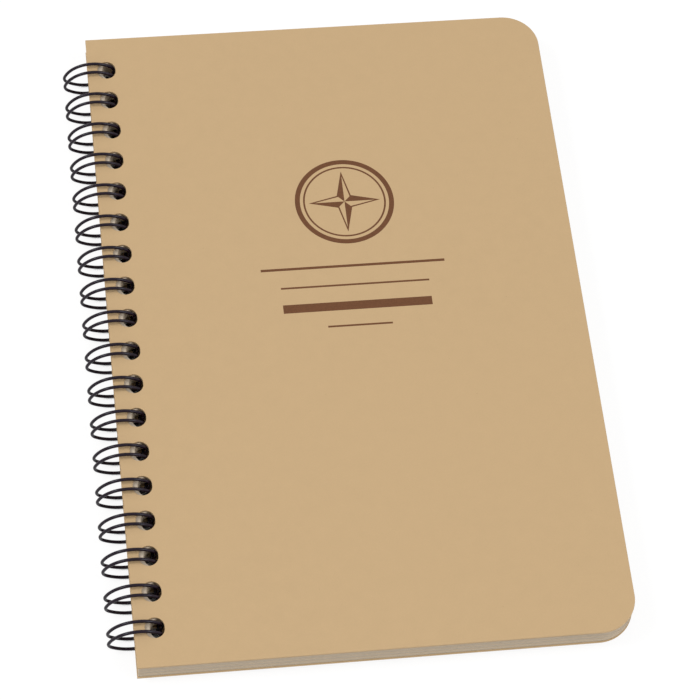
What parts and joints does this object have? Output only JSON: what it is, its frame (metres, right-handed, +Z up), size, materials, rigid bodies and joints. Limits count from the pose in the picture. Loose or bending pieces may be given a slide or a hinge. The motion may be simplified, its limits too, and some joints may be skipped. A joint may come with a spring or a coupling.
{
  "type": "wire-bound notebook",
  "caption": "Closed pocket notebook with flexible covers and a block of sheets, bound along one long side by a twin-loop wire; both covers swing open.",
  "frame": {"origin": "under the middle of the closed notebook's overall box, level with the lowest points of the wire loops", "axes": "+X from the wire edge to the fore edge, +Y from the foot of the page to its head, +Z up out of the front cover"},
  "size_m": [0.124, 0.1778, 0.0098],
  "materials": {
    "cover_sheet": "fine matte grain, tan",
    "paper": "uncoated, pale tan",
    "coated_wire": "black nylon coating, semi-gloss"
  },
  "bodies": {
    "book": {"page_block": "paper", "binding_wire": "coated_wire"},
    "front_cover": {"front_cover": "cover_sheet"},
    "back_cover": {"back_cover": "cover_sheet"}
  },
  "joints": [
    {"name": "front_cover_hinge", "type": "hinge", "parent": "book", "child": "front_cover", "pos_m": [-0.05509, 0, 0.0046], "axis": [0, -1, 0], "range_deg": [0, 180]},
    {"name": "back_cover_hinge", "type": "hinge", "parent": "book", "child": "back_cover", "pos_m": [-0.05554, 0, 0.00494], "axis": [0, 1, 0], "range_deg": [0, 180]}
  ]
}
